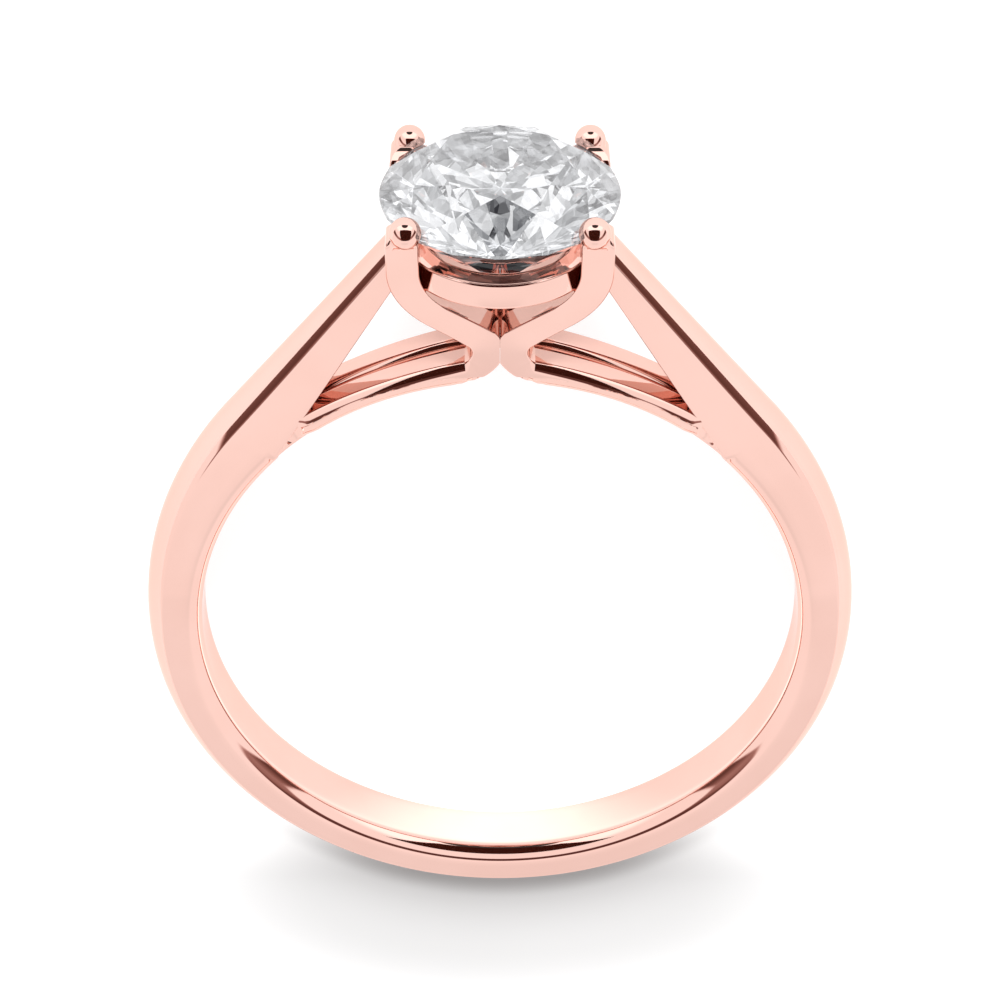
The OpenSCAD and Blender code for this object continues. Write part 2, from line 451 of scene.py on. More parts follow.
@dataclass(frozen=True)
class ClearStone:
    """A near-colourless cut diamond: bright, sharp, with a trace of cool tint, and painted glints
    that make its lower facets glow in patches.
    """

    name: str = "cut_diamond"
    clear: Colour = (0.972, 0.974, 0.977, 1)
    cool: Colour = (0.945, 0.949, 0.957, 1)
    bending: float = 2.42
    backing: float = 1.0
    painted_glint_glow: Colour = (0.19, 0.192, 0.197, 1)
    faint_painted_glow: Colour = (0.004, 0.004, 0.005, 1)
    shards: float = 2000.0
    shard_share: Point = (0.15, 0.95)
    tint_scale: float = 420.0
    girdle_ease: float = 0.00004

    def material(self) -> bpy.types.Material:
        """Builds the material.

        Returns:
            The finish, ready to be put on the stone.
        """
        bench = MaterialBench(self.name)
        tint = bench.noise(bench.place, self.tint_scale).rise(*SOFT_SHARE)
        # How far a place is below the girdle: the lower facets throw most of the light back, and
        # glow in patches with painted glints
        up = SIZES.turn @ Vector((0, 0, 1))
        girdle = up.dot(SIZES.lay @ Vector((0, 0, SIZES.girdle_z - SIZES.girdle_t)))
        height = bench.measure("DOT_PRODUCT", bench.place, up)
        below = 1 - height.rise(girdle - self.girdle_ease, girdle + self.girdle_ease)
        # Painted glints: Voronoi patches on the lower facets glow grey, as painted light
        painted_glints = bench.shards(bench.place, self.shards).rise(*self.shard_share)
        return bench.surface(
            {
                "Base Color": bench.blend(tint, self.clear, self.cool),
                "Metallic": self.backing * below,
                "Roughness": 0.0,
                "IOR": self.bending,
                "Transmission Weight": 1.0,
                "Emission Color": bench.blend(painted_glints * below, self.faint_painted_glow, self.painted_glint_glow),
                "Emission Strength": 1.0,
            }
        )


@dataclass(frozen=True)
class PaleFloor:
    """A pale table that glows a little, so that shadows on it stay soft, with a painted pool of
    light behind the foot, a painted shadow in front of it and a painted contact shadow under the
    band's edge.
    """

    name: str = "pale_floor_painted_light"
    pale: Colour = (0.35, 0.35, 0.35, 1)
    paler: Colour = (0.37, 0.37, 0.37, 1)
    glow: Colour = (0.72, 0.72, 0.72, 1)
    # Painted light in the floor's glow: a pool of light, a shadow in front of the foot and a
    # contact shadow
    painted_light_pool: Colour = (1.6, 1.6, 1.6, 1)
    painted_shadow: Colour = (0.25, 0.25, 0.25, 1)
    painted_contact_shadow: Colour = (0.0, 0.0, 0.0, 1)
    grain_scale: float = 60.0
    light_pool_mm: Point = (0.5, 4.2)
    light_pool_shift_mm: float = 1.5
    painted_shadow_mm: Point = (0.3, 3.0)
    fade_mm: Point = (3.0, 7.0)
    fade_squeeze: float = 0.5
    contact_shadow_mm: Point = (10.3, 11.1)
    contact_shadow_shift_mm: float = 1.3

    def material(self) -> bpy.types.Material:
        """Builds the material.

        Returns:
            The finish, ready to be put on the floor.
        """
        bench = MaterialBench(self.name)
        place = bench.place
        paper = bench.noise(place, self.grain_scale).rise(*SOFT_SHARE)
        # Painted light: a painted pool of light glows behind the foot, and a painted shadow
        # darkens the glow in front of it
        foot = (SIZES.lay @ Vector((0, 0, -SIZES.bore_r))).y
        spot = (0, foot + self.light_pool_shift_mm * MM, 0)
        painted_light_pool_share = 1 - bench.measure("DISTANCE", place, spot).rise(*(r * MM for r in self.light_pool_mm))
        along = bench.measure("DOT_PRODUCT", place, (0, -1, 0))
        front = along.rise(*(r * MM - foot for r in self.painted_shadow_mm))
        sockets = {0: place, 1: (self.fade_squeeze, 1, 1)}
        flat = bench.node("ShaderNodeVectorMath", {"operation": "MULTIPLY"}, sockets)
        spot = (0, foot - self.fade_mm[0] * MM, 0)
        spread = bench.measure("DISTANCE", flat.outputs["Vector"], spot)
        painted_shadow_share = front * (1 - spread.rise(*(r * MM for r in self.fade_mm)))
        # A painted contact shadow, darkest right under the edge of the band
        middle = (SIZES.lay @ Vector((0, 0, 0))).y - self.contact_shadow_shift_mm * MM
        near = bench.measure("DISTANCE", place, (0, middle, 0))
        touch = 1 - near.rise(*(r * MM for r in self.contact_shadow_mm))
        # The glow, darkened by the painted shadow and then by the painted contact shadow
        painted_floor_light = bench.blend(painted_shadow_share, self.glow, self.painted_shadow)
        painted_floor_light = bench.blend(touch * front, painted_floor_light, self.painted_contact_shadow)
        return bench.surface(
            {
                "Base Color": bench.blend(paper, self.pale, self.paler),
                "Roughness": 0.9,
                "Specular IOR Level": 0.0,
                # The painted pool of light behind the foot, over the painted shadows
                "Emission Color": bench.blend(painted_light_pool_share * (1 - front), painted_floor_light, self.painted_light_pool),
                "Emission Strength": 1.0,
            }
        )


@dataclass(frozen=True)
class DarkCard:
    """Dark felt, which polished metal shows as warm dark spots."""

    name: str = "dark_card"
    felt: Colour = (0.03, 0.008, 0.005, 1)
    worn: Colour = (0.045, 0.012, 0.008, 1)
    nap_scale: float = 900.0

    def material(self) -> bpy.types.Material:
        """Builds the material.

        Returns:
            The finish, ready to be put on the card.
        """
        bench = MaterialBench(self.name)
        nap = bench.noise(bench.place, self.nap_scale).rise(*SOFT_SHARE)
        return bench.surface(
            {
                "Base Color": bench.blend(nap, self.felt, self.worn),
                "Roughness": 1.0,
                "Specular IOR Level": 0.0,
            }
        )


@dataclass(frozen=True)
class StonePanels:
    """Light and dark panels around the stone, each of its own grey, that its facets show."""

    name: str = "stone_panels"
    light: Colour = (0.98, 0.98, 0.985, 1)
    dark: Colour = (0.10, 0.104, 0.112, 1)
    scale: float = 400.0
    share: Point = (0.12, 0.92)

    def material(self) -> bpy.types.Material:
        """Builds the material.

        Returns:
            The finish, ready to be put on the panels.
        """
        bench = MaterialBench(self.name)
        grey = bench.shards(bench.place, self.scale).rise(*self.share)
        return bench.surface(
            {
                "Base Color": (0, 0, 0, 1),
                "Specular IOR Level": 0.0,
                "Emission Color": bench.blend(grey, self.dark, self.light),
                "Emission Strength": 1.0,
            }
        )


class Shading(Enum):
    """How a piece's faces meet in the light."""

    ROUND = "round"
    CUT = "cut"


class MeshMaker:
    """Collects closed shells, drawn upright in millimetres, into one piece in the row's frame."""

    def __init__(self) -> None:
        """Starts an empty mesh."""
        self.mesh = bmesh.new()

    def loft(self, loops: Sequence[Sequence[Vector]]) -> None:
        """Skins a row of loops that have the same number of points, and closes both ends.

        Args:
            loops: The loops, each a closed outline in order.
        """
        rows = [[self.mesh.verts.new(p) for p in loop] for loop in loops]
        count = len(rows[0])
        for near, far in zip(rows, rows[1:]):
            for k in range(count):
                n = (k + 1) % count
                self.mesh.faces.new((near[k], near[n], far[n], far[k]))
        self.mesh.faces.new(list(reversed(rows[0])))
        self.mesh.faces.new(rows[-1])

    def lathe(self, outline: Sequence[Point], place: Vector, steps: int = 192) -> None:
        """Turns a closed outline about the stone's axis.

        Args:
            outline: Points as (radius, height), round the section. Radius 0 makes a pole.
            place: Where the axis stands.
            steps: How many steps the turn has.
        """
        turns = [math.tau * k / steps for k in range(steps)]
        rows = []
        for r, z in outline:
            if r < 1e-9:
                rows.append([self.mesh.verts.new(place + Vector((0, 0, z)))] * steps)
                continue
            spots = [place + Vector((r * math.cos(a), r * math.sin(a), z)) for a in turns]
            rows.append([self.mesh.verts.new(spot) for spot in spots])
        closed = outline[0][0] > 1e-9
        pairs = list(zip(rows, rows[1:])) + ([(rows[-1], rows[0])] if closed else [])
        for near, far in pairs:
            for k in range(steps):
                n = (k + 1) % steps
                corners = []
                for v in (near[k], near[n], far[n], far[k]):
                    if v not in corners:
                        corners.append(v)
                self.mesh.faces.new(corners)

    def finish(self, name: str, shading: Shading, sharp_deg: float = 40.0) -> bpy.types.Object:
        """Makes the piece and lays it down.

        Args:
            name: The piece's name.
            shading: Round faces flow into each other, cut ones stay flat.
            sharp_deg: Edges sharper than this stay crisp on round pieces.

        Returns:
            The new object.
        """
        bmesh.ops.recalc_face_normals(self.mesh, faces=self.mesh.faces)
        self.mesh.transform(SIZES.lay)
        for face in self.mesh.faces:
            face.smooth = shading is Shading.ROUND
        for edge in self.mesh.edges:
            if len(edge.link_faces) == 2:
                edge.smooth = edge.calc_face_angle(0.0) < math.radians(sharp_deg)
        data = bpy.data.meshes.new(name)
        self.mesh.to_mesh(data)
        self.mesh.free()
        piece = bpy.data.objects.new(name, data)
        bpy.context.scene.collection.objects.link(piece)
        return piece


def arc(start_deg: float, end_deg: float, count: int) -> list[float]:
    """Evenly spaced angles, both ends included.

    Args:
        start_deg: The first angle in degrees.
        end_deg: The last angle in degrees.
        count: How many there are.

    Returns:
        The angles in radians.
    """
    return [math.radians(a) for a in run(start_deg, end_deg, count)]


def run(start: float, end: float, count: int) -> list[float]:
    """Evenly spaced numbers, both ends included.

    Args:
        start: The first.
        end: The last.
        count: How many there are.

    Returns:
        The numbers.
    """
    return [start + (end - start) * k / (count - 1) for k in range(count)]


def ray_at(a: float) -> Vector:
    """The direction at an angle in radians, seen from the front."""
    return Vector((math.cos(a), 0, math.sin(a)))


def mirror(
    loops: Sequence[Sequence[Vector]], x_sign: int, y_sign: int = 1
) -> list[list[Vector]]:
    """Loops on another side of the ring.

    Args:
        loops: The loops.
        x_sign: -1 to change sides across the finger.
        y_sign: -1 to change sides along the finger.

    Returns:
        The new loops, with their points in the same order.
    """
    return [[Vector((x_sign * p.x, y_sign * p.y, p.z)) for p in loop] for loop in loops]


def dress(
    piece: bpy.types.Object, finish: bpy.types.Material, nodes: Iterable[str]
) -> None:
    """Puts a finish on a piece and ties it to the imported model.

    Args:
        piece: The piece.
        finish: Its material.
        nodes: The CAD nodes that it stands for.
    """
    piece.data.materials.clear()
    piece.data.materials.append(finish)
    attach(piece, "root")
    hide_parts(*nodes)
    log.info("%s: %d faces", piece.name, len(piece.data.polygons))


@dataclass
class Band:
    """The lower band, its shoulders and the two cathedral arms, in one sweep."""

    shoulder_r: float = 11.3
    arm_dome_r: float = 0.84
    arm_end_h: float = 0.76
    arm_root_h: float = 1.81
    arm_reach: float = 8.45
    crest_r: float = 0.06
    keel_r: float = 0.05
    # Rows: height above the finger's axis, half the width there
    half_widths: tuple[Point, ...] = (
        (-1, 1.11), (3.5, 1.0), (6, 0.965), (8, 0.895), (10, 0.785), (12, 0.675), (14, 0.58),
    )
    ease: float = 1.0
    sizes: RingSizes = SIZES

    def table_width(self, z: float) -> float:
        """Reads half the width off the table.

        Args:
            z: Height above the finger's axis.

        Returns:
            Half the width along the finger.
        """
        table = self.half_widths
        z = min(max(z, table[0][0]), table[-1][0])
        for (z0, w0), (z1, w1) in zip(table, table[1:]):
            if z <= z1:
                return w0 + (w1 - w0) * (z - z0) / (z1 - z0)
        return table[-1][1]

    def half_width(self, z: float) -> float:
        """Half the width at a height, with the table's corners eased.

        Args:
            z: Height above the finger's axis.

        Returns:
            Half the width along the finger.
        """
        samples = [self.table_width(z + self.ease * k / 4) for k in range(-4, 5)]
        return min(self.sizes.band_w / 2, sum(samples) / len(samples))

    def section(
        self, ridge: Vector, out: Vector, dome_r: float, keel: float | None
    ) -> list[Vector]:
        """One cross-section.

        Args:
            ridge: The point on top of the dome.
            out: The direction that points out of the metal there.
            dome_r: The dome's radius.
            keel: Depth of a flat lower edge, or None where the finger hole is the lower side.

        Returns:
            The outline, all the way round.
        """
        s = self.sizes

        def hole_depth(y: float, side: float) -> float:
            """How deep the finger hole's wall lies below the ridge."""
            b = ridge.dot(out)
            return b - math.sqrt(max(b * b - ridge.length_squared + s.hole_r(y, side) ** 2, 0.0))

        low = hole_depth(0.0, s.band_w / 2)
        flat_keel = keel is not None and keel < low
        depth = keel if flat_keel else low
        half = self.half_width(ridge.z - out.z * 0.5 * depth)
        r = self.crest_r
        lean = math.asin((half - r) / (dome_r - r))
        side_t = dome_r - (dome_r - r) * math.cos(lean)
        # Half the outline, as place along the finger and depth below the ridge
        right: list[Point] = []
        for a in run(0, lean, 16):
            right.append((dome_r * math.sin(a), dome_r * (1 - math.cos(a))))
        for a in run(lean, math.pi / 2, 8)[1:]:
            right.append((half - r + r * math.sin(a), side_t - r * math.cos(a)))
        corner = self.keel_r
        side_end = depth - corner if flat_keel else hole_depth(half, half)
        for k in range(1, 5):
            t = side_t + (side_end - side_t) * k / 4
            right.append((self.half_width(ridge.z - out.z * t) * k / 4 + half * (1 - k / 4), t))
        edge = right[-1][0]
        if flat_keel:
            for a in arc(0, 90, 9)[1:]:
                y = edge - corner + corner * math.cos(a)
                right.append((y, depth - corner + corner * math.sin(a)))
            right.extend((y, depth) for y in run(edge - corner, 0, 6)[1:])
        else:
            mouth = edge - s.edge_r
            ys = [mouth + s.edge_r * math.cos(a) for a in arc(0, 90, 9)[1:]]
            right.extend((y, hole_depth(y, edge)) for y in ys + run(mouth, 0, 6)[1:])
        left = [(-y, t) for y, t in reversed(right[1:-1])]
        return [ridge - out * t + Vector((0, y, 0)) for y, t in right + left]

    def left_sections(self) -> list[list[Vector]]:
        """The cross-sections from the foot of the ring up the left side to the basket.

        Returns:
            The outlines, in order.
        """
        s = self.sizes
        arm = math.radians(s.arm_deg)
        up = ray_at(arm)
        out = Vector((-math.sin(arm), 0, math.cos(arm)))
        away = self.shoulder_r - s.band_r
        touch = math.degrees(math.acos((self.shoulder_r - s.ridge_n) / away)) - (90 - s.arm_deg)
        centre = away * ray_at(math.radians(touch))
        loops = []
        for ray in map(ray_at, arc(270, 180 + touch, 110)[:-1]):
            loops.append(self.section(s.band_r * ray, ray, s.dome_r, None))
        for ray in map(ray_at, arc(180 + touch, 90 + s.arm_deg, 64)):
            loops.append(self.section(centre + self.shoulder_r * ray, ray, s.dome_r, None))
        start = centre.dot(up)
        length = self.arm_reach - start
        for share in run(0, 1, 73)[1:]:
            ridge = (start + length * share) * up + s.ridge_n * out
            keel = self.arm_root_h + (self.arm_end_h - self.arm_root_h) * share
            dome = s.dome_r + (self.arm_dome_r - s.dome_r) * share
            loops.append(self.section(ridge, out, dome, keel))
        return loops

    def build(self, finish: bpy.types.Material) -> None:
        """Makes the piece.

        Args:
            finish: Its material.
        """
        left = self.left_sections()
        right = mirror(left[1:], -1)
        maker = MeshMaker()
        maker.loft(list(reversed(right)) + left)
        dress(maker.finish("band_and_arms", Shading.ROUND), finish, ["ring_mount"])


@dataclass
class ClawWires:
    """Four wires, each a bridge rail that hooks over and runs up into a beaded claw."""

    eye_r: float = 0.3
    bend_r: float = 2.3
    bend_drop: float = 0.15
    claw_x: float = -2.53
    claw_y: float = 2.16
    claw_rise: float = 1.3
    flare_ease: float = 0.5
    side_lean_deg: float = 23.5
    side_bend_r: float = 1.0
    side_bend_lift: float = 0.02
    curl_r: float = 0.96
    curl_x: float = -0.85
    curl_lift: float = 0.19
    curl_rise: float = 0.3
    curl_ease_deg: float = 60.0
    square_deg: float = 35.0
    rise_from_deg: float = 103.0
    corner_deg: float = 125.5
    corner_ease_deg: float = 3.0
    tuck: float = 0.03
    tuck_growth: float = 4.0
    sink: float = 0.1
    middle_gap: float = 0.004
    rail_gap: float = 0.02
    rail_arc_r: float = 15.1
    rail_arc_x: float = 2.565
    rail_arc_drop: float = -13.78
    rail_round: Point = (0.36, 0.2)
    edge_r: float = 0.05
    edge_share: float = 0.9
    tip_depth: float = 0.25
    bead_r: float = 0.42
    bead_x: float = 2.43
    bead_y: float = 2.37
    bead_lift: float = 0.22
    rail_from_deg: float = 146.0
    band: Band = field(default_factory=Band)
    sizes: RingSizes = SIZES

    @property
    def rail_y(self) -> float:
        """How far a rail's middle line is from the ring's middle."""
        return self.sizes.wire_d / 2 + self.rail_gap

    @property
    def claw_top_z(self) -> float:
        """Height of a claw's top under its bead."""
        return self.sizes.bend_z + self.claw_rise

    def depth_place(self, z: float, aside: float) -> float:
        """Where a line of the wire lies along the finger at a height, seen from the side.

        Args:
            z: The height.
            aside: The line's distance from the wire's middle, towards the ring's middle.

        Returns:
            The place along the finger of a front wire, which is negative.
        """
        lean = math.radians(self.side_lean_deg)
        top_y = -self.claw_y + self.side_bend_r
        top_z = self.claw_top_z + self.side_bend_lift
        outer = self.side_bend_r - aside
        if z >= top_z:
            leaning = top_y - outer
        elif z >= top_z - outer * math.sin(lean):
            leaning = top_y - math.sqrt(outer**2 - (top_z - z) ** 2)
        else:
            below = top_z - outer * math.sin(lean) - z
            leaning = top_y - outer * math.cos(lean) + below * math.tan(lean)
        upright = -self.rail_y + aside
        apart = leaning - upright
        return (leaning + upright - math.sqrt(apart**2 + self.flare_ease**2)) / 2

    def front_path(self) -> list[tuple[Vector, Vector, float, float]]:
        """The left wire seen from the front.

        Returns:
            Rows of the edge point on the finger hole's side, the edge point across the wire,
            the share of the width that is kept, and how round its upper edges are, 0 to 1.
        """
        s = self.sizes
        half = s.wire_w / 2
        hook = Vector((self.curl_x, 0, s.hook_z + self.curl_lift))
        bend = Vector((self.claw_x + self.bend_r, 0, s.bend_z - self.bend_drop))
        gap = bend - hook
        cross = math.asin((self.curl_r - half + self.bend_r) / gap.length)
        turn = math.atan2(gap.z, gap.x) + cross - math.pi / 2
        eye = hook + (self.curl_r - s.wire_w - self.eye_r) * Vector((1, 0, math.tan(turn / 2)))
        middle = Vector((self.rail_arc_x, 0, self.rail_arc_drop + s.bore_r))
        hook_deg = math.degrees(math.atan2(hook.z, hook.x))
        rows = []
        for a in arc(self.rail_from_deg, hook_deg, 60)[:-1]:
            ray = ray_at(a)
            b = ray.dot(middle)
            far = b + math.sqrt(b * b - middle.length_squared + self.rail_arc_r**2)
            past = self.rise_from_deg - math.degrees(a)
            climb = max(0.0, past / (self.rise_from_deg - hook_deg))
            rows.append(((s.bore_r + self.curl_rise * climb**2) * ray, far * ray, 1.0, 1.0))
        # The curl eases out of the rail's last row
        start = hook_deg - 180
        ray = ray_at(math.radians(start))
        outer_gap = rows[-1][0] - (hook + self.curl_r * ray)
        inner_gap = rows[-1][1] - (eye + self.eye_r * ray)
        for a in arc(start, math.degrees(turn), 72):
            ray = ray_at(a)
            past = math.degrees(a) - start
            ease = max(0.0, 1 - past / self.curl_ease_deg) ** 2
            low = hook + self.curl_r * ray + outer_gap * ease
            high = eye + self.eye_r * ray + inner_gap * ease
            rows.append((low, high, 1.0, max(0.0, 1 - past / self.square_deg)))
        ray = ray_at(turn)
        near = (hook + self.curl_r * ray, hook + (self.curl_r - s.wire_w) * ray)
        ends = (bend - (self.bend_r - half) * ray, bend - (self.bend_r + half) * ray)
        for share in run(0, 1, 14)[1:-1]:
            low, high = (p.lerp(end, share) for p, end in zip(near, ends))
            rows.append((low, high, 1.0, 0.0))
        for ray in map(ray_at, arc(math.degrees(turn), 0, 40)):
            low, high = (bend - (self.bend_r + side) * ray for side in (-half, half))
            rows.append((low, high, 1.0, 0.0))
        # The claw narrows to its top inside the bead
        end_z = self.claw_top_z - half
        heights = [(z, 1.0) for z in run(bend.z, end_z, 12)[1:]]
        heights += [(end_z + half * math.sin(a), math.cos(a)) for a in arc(0, 84, 16)[1:]]
        for z, keep in heights:
            low, high = (Vector((self.claw_x + side, 0, z)) for side in (half, -half))
            rows.append((low, high, keep, 0.0))
        return rows

    def loops(self) -> list[list[Vector]]:
        """The cross-sections of the front left wire, rounded at their corners.

        Returns:
            The loops, in order.
        """
        s = self.sizes
        half_d = s.wire_d / 2
        loops = []
        for low, high, keep, roundness in self.front_path():
            middle = (low + high) / 2
            half_w = (high - low).length / 2 * keep
            across = (high - low).normalized()
            deep = half_d * (self.tip_depth + (1 - self.tip_depth) * keep)
            most = self.edge_share * half_w
            small = min(self.edge_r, most)
            tall = small + (min(self.rail_round[0], most) - small) * roundness
            wide = small + (self.rail_round[1] - small) * roundness
            corners = (
                (1, -1, 180, tall, wide),
                (1, 1, 90, tall, wide),
                (-1, 1, 0, small, small),
                (-1, -1, -90, small, small),
            )
            # a runs across the wire, away from the finger hole, and b towards the ring's middle
            spots: list[Point] = []
            for sign_a, sign_b, first, r_a, r_b in corners:
                for angle in arc(first, first - 90, 11):
                    a = sign_a * (half_w - r_a) + r_a * math.sin(angle)
                    b = sign_b * (deep - r_b) + r_b * math.cos(angle)
                    spots.append((a, b))
                if (sign_a, sign_b) == (-1, 1):
                    spots.extend((-half_w, b) for b in run(deep - r_b, r_b - deep, 14)[1:-1])
            # Inside the band the wire is drawn in, so that it shows on neither side of it
            angle = math.degrees(math.atan2(middle.z, middle.x))
            hidden = min(max((angle - self.corner_deg) / self.corner_ease_deg, 0.0), 1.0)
            limit = self.band.half_width(middle.z) - self.tuck * (1 + self.tuck_growth * hidden)
            loop = []
            for a, b in spots:
                spot = middle + across * a
                y = self.depth_place(spot.z, b)
                y += hidden * max(0.0, -limit - y)
                hole = s.hole_r(y, self.rail_y + half_d) + self.sink * hidden
                if spot.length < hole:
                    spot = spot * (hole / spot.length)
                loop.append(Vector((min(spot.x, -self.middle_gap), y, spot.z)))
            loops.append(loop)
        return loops

    def bead_outline(self) -> list[Point]:
        """Outline of a claw's bead, as radius and height."""
        turns = arc(-90, 90, 41)
        return [(max(self.bead_r * math.cos(a), 0.0), self.bead_r * math.sin(a)) for a in turns]

    def build(self, finish: bpy.types.Material) -> None:
        """Makes the four wires.

        Args:
            finish: Their material.
        """
        bead_z = self.sizes.girdle_z + self.bead_lift
        left_front = self.loops()
        for x_name, x_sign in (("left", 1), ("right", -1)):
            for y_name, y_sign in (("front", 1), ("back", -1)):
                maker = MeshMaker()
                loops = mirror(left_front, x_sign, y_sign)
                if x_sign * y_sign < 0:
                    loops = [loop[::-1] for loop in loops]
                maker.loft(loops)
                place = Vector((-x_sign * self.bead_x, -y_sign * self.bead_y, bead_z))
                maker.lathe(self.bead_outline(), place, 64)
                piece = maker.finish(f"claw_wire_{y_name}_{x_name}", Shading.ROUND, 50.0)
                StoneSeat().cut(piece)
                dress(piece, finish, ["ring_mount"])


@dataclass
class StoneSeat:
    """The room that the stone needs, cut out of the claws."""

    gap: float = 0.03
    table_gap: float = 0.01
    sizes: RingSizes = SIZES

    def cut(self, piece: bpy.types.Object) -> None:
        """Cuts the seat out of a piece.

        Args:
            piece: The piece, already laid down.
        """
        s = self.sizes
        reach = s.stone_r + self.gap
        half = s.girdle_t / 2 + self.gap
        crown = half + (reach - s.table_r) * math.tan(math.radians(s.crown_deg))
        outline = [
            (0.0, -half - reach * math.tan(math.radians(s.pavilion_deg))),
            (reach, -half),
            (reach, half),
            (s.table_r, crown),
            (0.0, crown + self.table_gap),
        ]
        maker = MeshMaker()
        maker.lathe(outline, Vector((0, 0, s.girdle_z)), 128)
        cutter = maker.finish("seat_cutter", Shading.CUT)
        saw = piece.modifiers.new("seat", "BOOLEAN")
        saw.operation = "DIFFERENCE"
        saw.solver = "EXACT"
        saw.use_self = True
        saw.object = cutter
        bpy.context.view_layer.update()
        graph = bpy.context.evaluated_depsgraph_get()
        cut = bpy.data.meshes.new_from_object(piece.evaluated_get(graph))
        piece.modifiers.clear()
        piece.data = cut
        bpy.data.objects.remove(cutter)


@dataclass
class Basket:
    """The collar under the stone, and the web that joins the rails of the bridge."""

    collar_r: float = 2.65
    collar_t: float = 0.62
    collar_h: float = 0.8
    top_drop: float = 0.155
    rim_r: float = 0.07
    foot_r: float = 0.16
    web_drop: float = 0.2
    web_rows: int = 120
    hole_gap: float = 0.004
    hook_gap: float = 0.05
    touch_gap: float = 0.01
    sizes: RingSizes = SIZES

    def collar_outline(self) -> list[Point]:
        """The collar's section, rounded a little at its rims.

        Returns:
            Its points, as radius and height.
        """
        inner, outer, low = self.collar_r - self.collar_t, self.collar_r, -self.collar_h
        rim = self.rim_r
        corners = (
            (outer - self.foot_r, low + self.foot_r, -90, self.foot_r),
            (outer - rim, -rim, 0, rim),
            (inner + rim, -rim, 90, rim),
            (inner + rim, low + rim, 180, rim),
        )
        points: list[Point] = []
        for r, z, first, radius in corners:
            for a in arc(first, first + 90, 7):
                points.append((r + radius * math.cos(a), z + radius * math.sin(a)))
        return points

    def web_loops(self, wires: ClawWires) -> list[list[Vector]]:
        """Sections of the left bridge's web, from the arm to the middle between the hooks.

        Args:
            wires: The claw wires, whose front path the web follows.

        Returns:
            The loops.
        """
        half = wires.rail_y
        loops = []
        for low, high, _, _ in wires.front_path()[: self.web_rows]:
            out = (high - low).normalized()
            top = high - out * self.web_drop
            on_hole = low.length < self.sizes.bore_r + self.touch_gap
            floor = low + out * (self.hole_gap if on_hole else self.hook_gap)
            corners = ((floor, -half), (floor, half), (top, half), (top, -half))
            loops.append([Vector((spot.x, y, spot.z)) for spot, y in corners])
        return loops

    def build(self, finish: bpy.types.Material, wires: ClawWires) -> None:
        """Makes the collar and the web.

        Args:
            finish: Their material.
            wires: The claw wires that they join.
        """
        s = self.sizes
        maker = MeshMaker()
        maker.lathe(self.collar_outline(), Vector((0, 0, s.bend_z - self.top_drop)), 240)
        dress(maker.finish("collar", Shading.ROUND), finish, ["ring_mount"])
        left = self.web_loops(wires)
        for name, sign in (("left", 1), ("right", -1)):
            maker = MeshMaker()
            maker.loft(mirror(left, sign))
            piece = maker.finish(f"bridge_web_{name}", Shading.ROUND, 30.0)
            dress(piece, finish, ["ring_mount"])


@dataclass
class Brilliant:
    """The round brilliant, cut facet by facet from a round blank, as a cutter does."""

    star_share: float = 0.5
    lower_share: float = 0.78
    sides: int = 128
    bulge: float = 1.008
    blank_share: float = 1.1
    sizes: RingSizes = SIZES

    def facets(self) -> list[tuple[Vector, Vector]]:
        """The planes of the cut.

        Returns:
            Each plane as a point on it and the direction out of the stone.
        """
        s = self.sizes
        step = math.radians(45)
        half = step / 2
        top = s.girdle_t / 2
        crown = math.tan(math.radians(s.crown_deg))
        pavilion = math.tan(math.radians(s.pavilion_deg))
        table_z = s.table_z - s.girdle_z
        star_r = s.table_r * math.cos(half)
        star_r += self.star_share * (s.stone_r - star_r)
        lower_r = s.stone_r * (1 - self.lower_share)

        def spot(r: float, angle: float, z: float) -> Vector:
            """A point from its distance, angle and height."""
            return Vector((r * math.cos(angle), r * math.sin(angle), z))

        def through(a: Vector, b: Vector, c: Vector) -> tuple[Vector, Vector]:
            """The plane through three points, facing away from the stone's middle."""
            normal = (b - a).cross(c - a).normalized()
            return a, normal if normal.dot(a) > 0 else -normal

        planes = [(Vector((0, 0, table_z)), Vector((0, 0, 1)))]
        star_z = top + (s.stone_r - star_r * math.cos(half)) * crown
        lower_z = -top - (s.stone_r - lower_r * math.cos(half)) * pavilion
        tip = Vector((0, 0, -top - s.stone_r * pavilion))
        rim = s.stone_r * self.bulge
        for k in range(8):
            main = step * k
            mid = main + half
            table = spot(s.table_r, main, table_z)
            star = spot(star_r, mid, star_z)
            lower = spot(lower_r, mid, lower_z)
            planes.append(through(table, star, spot(star_r, main - half, star_z)))
            planes.append(through(table, spot(s.table_r, main + step, table_z), star))
            planes.append(through(tip, lower, spot(lower_r, main - half, lower_z)))
            for edge in (main, main + step):
                planes.append(through(star, spot(rim, mid, top), spot(rim, edge, top)))
                planes.append(through(lower, spot(rim, mid, -top), spot(rim, edge, -top)))
        return planes

    def build(self, finish: bpy.types.Material) -> None:
        """Makes the stone.

        Args:
            finish: Its material.
        """
        s = self.sizes
        maker = MeshMaker()
        depth = s.stone_r * self.blank_share
        blank = [(0.0, -depth), (s.stone_r, -depth), (s.stone_r, depth), (0.0, depth)]
        maker.lathe(blank, Vector((0, 0, 0)), self.sides)
        shell = maker.mesh
        for spot, out in self.facets():
            geometry = list(shell.verts) + list(shell.edges) + list(shell.faces)
            cut = bmesh.ops.bisect_plane(
                shell, geom=geometry, dist=1e-5, plane_co=spot, plane_no=out, clear_outer=True
            )
            rim = [e for e in cut["geom_cut"] if isinstance(e, bmesh.types.BMEdge)]
            if rim:
                bmesh.ops.contextual_create(shell, geom=rim)
        bmesh.ops.remove_doubles(shell, verts=shell.verts, dist=1e-4)
        flat = math.radians(0.3)
        bmesh.ops.dissolve_limit(shell, angle_limit=flat, verts=shell.verts, edges=shell.edges)
        bmesh.ops.translate(shell, verts=shell.verts, vec=Vector((0, 0, s.girdle_z)))
        piece = maker.finish("brilliant", Shading.CUT)
        dress(piece, finish, ["round_stone"])


